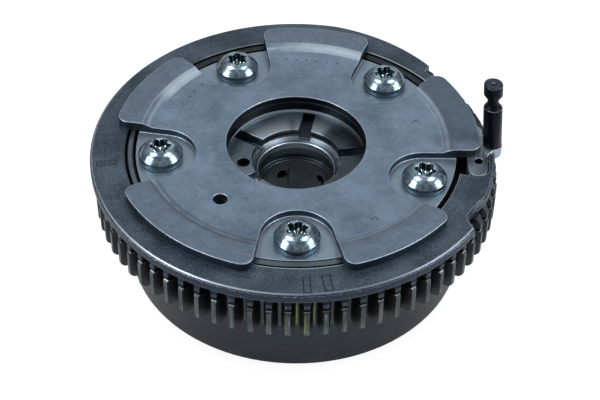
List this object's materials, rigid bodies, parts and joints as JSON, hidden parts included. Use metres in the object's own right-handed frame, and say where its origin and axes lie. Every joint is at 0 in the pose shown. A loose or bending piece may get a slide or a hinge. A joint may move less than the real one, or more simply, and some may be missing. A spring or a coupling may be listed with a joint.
{
  "type": "camshaft adjuster gear",
  "caption": "Toothed camshaft adjuster with a split anti-backlash gear, a lobed front cover held by pan head screws, a vane rotor inside and an upright assembly pin beside the rim.",
  "frame": {"origin": "on the axis of rotation, in the plane of the rear rim that the part stands on", "axes": "+Z along the axis of rotation, from the camshaft side towards the front cover; +X towards the lug and the assembly pin; +Y completes the right-handed frame"},
  "size_m": [0.1126, 0.1124, 0.0582],
  "materials": {
    "sintered_steel": "dark machined sintered steel",
    "dark_steel": "satin, lightly worn",
    "cover_steel": "satin grey, fine scratches",
    "rotor_steel": "satin turned",
    "zinc_plate": "bright zinc plate",
    "bright_steel": "bright spring steel",
    "black_oxide": "black oxide, semi-gloss",
    "seal_plastic": "dark wear-resistant plastic"
  },
  "bodies": {
    "housing": {"gear_housing": "sintered_steel", "compensating_gear": "sintered_steel", "backlash_spring": "bright_steel", "spring_pin": "bright_steel", "anchor_pin": "bright_steel", "timing_disc": "dark_steel", "front_cover": "cover_steel", "cover_screws": "zinc_plate", "lock_seat": "bright_steel"},
    "rotor_body": {"rotor": "rotor_steel", "vane_seal_1": "seal_plastic", "vane_seal_2": "seal_plastic", "vane_seal_3": "seal_plastic", "vane_seal_4": "seal_plastic", "vane_seal_5": "seal_plastic", "seal_spring_1": "bright_steel", "seal_spring_2": "bright_steel", "seal_spring_3": "bright_steel", "seal_spring_4": "bright_steel", "seal_spring_5": "bright_steel", "lock_spring": "bright_steel"},
    "lock_pin_body": {"lock_pin": "bright_steel"},
    "assembly_pin_body": {"assembly_pin": "black_oxide"}
  },
  "joints": [
    {"name": "rotor_turn", "type": "hinge", "parent": "housing", "child": "rotor_body", "pos_m": [0, 0, 0.019], "axis": [0, 0, 1], "range_deg": [-20, 0]},
    {"name": "lock_pin_slide", "type": "slide", "parent": "rotor_body", "child": "lock_pin_body", "axis": [0, 0, 1], "range_m": [-0.004, 0], "stiffness_N_per_m": 300, "springref_m": 0.004, "deforming": ["lock_spring"]},
    {"name": "assembly_pin_slide", "type": "slide", "parent": "housing", "child": "assembly_pin_body", "axis": [0, 0, 1], "range_m": [0, 0.03]}
  ]
}
